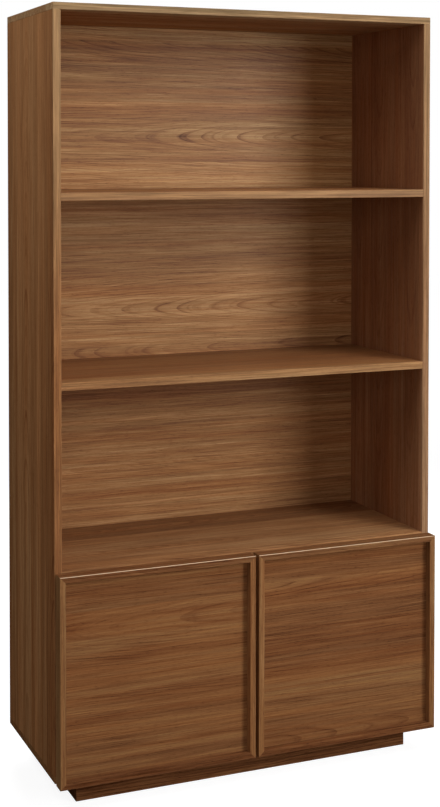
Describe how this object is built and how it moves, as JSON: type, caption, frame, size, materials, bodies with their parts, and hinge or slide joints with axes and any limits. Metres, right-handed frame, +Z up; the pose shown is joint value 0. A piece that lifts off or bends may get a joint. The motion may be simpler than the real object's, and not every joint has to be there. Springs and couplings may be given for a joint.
{
  "type": "bookcase with cabinet doors",
  "caption": "Tall walnut-veneer bookcase: open bays over a cabinet with handleless, raised-rim doors that swing on concealed hinges, on a recessed plinth.",
  "frame": {"origin": "on the floor, at the centre of the outline seen from above, doors included", "axes": "+Z up, +X to the right of someone facing the front, the doors face -Y"},
  "size_m": [0.95, 0.416, 1.78],
  "materials": {
    "walnut_case": "satin walnut veneer on board, grain running along each board",
    "walnut_shelf": "satin walnut veneer on board, grain from side to side",
    "walnut_back": "satin walnut veneer, figured grain from side to side",
    "walnut_plinth": "satin walnut veneer, grain from side to side",
    "walnut_door": "satin walnut veneer, figured grain from side to side",
    "walnut_rim": "satin solid walnut lipping, grain along each piece",
    "pine": "unfinished softwood",
    "beech": "unfinished fluted beech",
    "nickel_steel": "nickel-plated pressed steel",
    "zinc_screw": "bright zinc-plated steel",
    "cast_zinc": "dull cast zinc alloy",
    "strike_steel": "satin steel disc",
    "magnet_nickel": "nickel-plated magnet",
    "latch_plastic": "dark grey moulded plastic",
    "glide_plastic": "black moulded plastic",
    "cap_plastic": "brown moulded plastic"
  },
  "bodies": {
    "case": {"arm_screws": "zinc_screw", "back_panel_screws": "zinc_screw", "bottom_panel": "walnut_case", "bottom_screws": "zinc_screw", "cabinet_back_panel": "walnut_back", "cabinet_top": "walnut_shelf", "cam_bolts": "zinc_screw", "cam_locks": "cast_zinc", "hinge_arms": "nickel_steel", "hinge_plates": "nickel_steel", "latch_housings": "latch_plastic", "latch_screws": "zinc_screw", "left_side": "walnut_case", "lower_back_panel": "walnut_back", "middle_back_panel": "walnut_back", "middle_shelf": "walnut_shelf", "plate_screws": "zinc_screw", "plinth_back": "walnut_plinth", "plinth_blocks": "pine", "plinth_brace": "pine", "plinth_front": "walnut_plinth", "plinth_glides": "glide_plastic", "plinth_left": "walnut_plinth", "plinth_right": "walnut_plinth", "plinth_screws": "zinc_screw", "right_side": "walnut_case", "screw_caps": "cap_plastic", "shelf_pins": "nickel_steel", "top_back_panel": "walnut_back", "top_panel": "walnut_case", "top_screws": "zinc_screw", "upper_shelf": "walnut_shelf", "wooden_dowels": "beech"},
    "left_door": {"left_cup_screws": "zinc_screw", "left_door_bottom_rail": "walnut_rim", "left_door_hinge_stile": "walnut_rim", "left_door_meeting_stile": "walnut_rim", "left_door_panel": "walnut_door", "left_door_top_rail": "walnut_rim", "left_hinge_cups": "nickel_steel", "left_hinge_pins": "nickel_steel", "left_strike_plate": "strike_steel", "left_strike_screw": "zinc_screw"},
    "right_door": {"right_cup_screws": "zinc_screw", "right_door_bottom_rail": "walnut_rim", "right_door_hinge_stile": "walnut_rim", "right_door_meeting_stile": "walnut_rim", "right_door_panel": "walnut_door", "right_door_top_rail": "walnut_rim", "right_hinge_cups": "nickel_steel", "right_hinge_pins": "nickel_steel", "right_strike_plate": "strike_steel", "right_strike_screw": "zinc_screw"},
    "left_plunger": {"left_latch_plunger": "latch_plastic", "left_latch_magnet": "magnet_nickel"},
    "right_plunger": {"right_latch_plunger": "latch_plastic", "right_latch_magnet": "magnet_nickel"},
    "loose_shelf": {"cabinet_shelf": "walnut_shelf"}
  },
  "joints": [
    {"name": "left_door_hinge", "type": "hinge", "parent": "case", "child": "left_door", "pos_m": [-0.465, -0.1845, 0.291], "axis": [0, 0, -1], "range_deg": [0, 95]},
    {"name": "right_door_hinge", "type": "hinge", "parent": "case", "child": "right_door", "pos_m": [0.465, -0.1845, 0.291], "axis": [0, 0, 1], "range_deg": [0, 95]},
    {"name": "left_latch_slide", "type": "slide", "parent": "case", "child": "left_plunger", "axis": [0, -1, 0], "range_m": [0, 0.01]},
    {"name": "right_latch_slide", "type": "slide", "parent": "case", "child": "right_plunger", "axis": [0, -1, 0], "range_m": [0, 0.01]},
    {"name": "cabinet_shelf_lift", "type": "slide", "parent": "case", "child": "loose_shelf", "axis": [0, 0, 1], "range_m": [0, 0.06]}
  ],
  "couplings": [
    {"joint": "left_latch_slide", "follows": "left_door_hinge", "m_per_rad": 0.006031},
    {"joint": "right_latch_slide", "follows": "right_door_hinge", "m_per_rad": 0.006031}
  ]
}
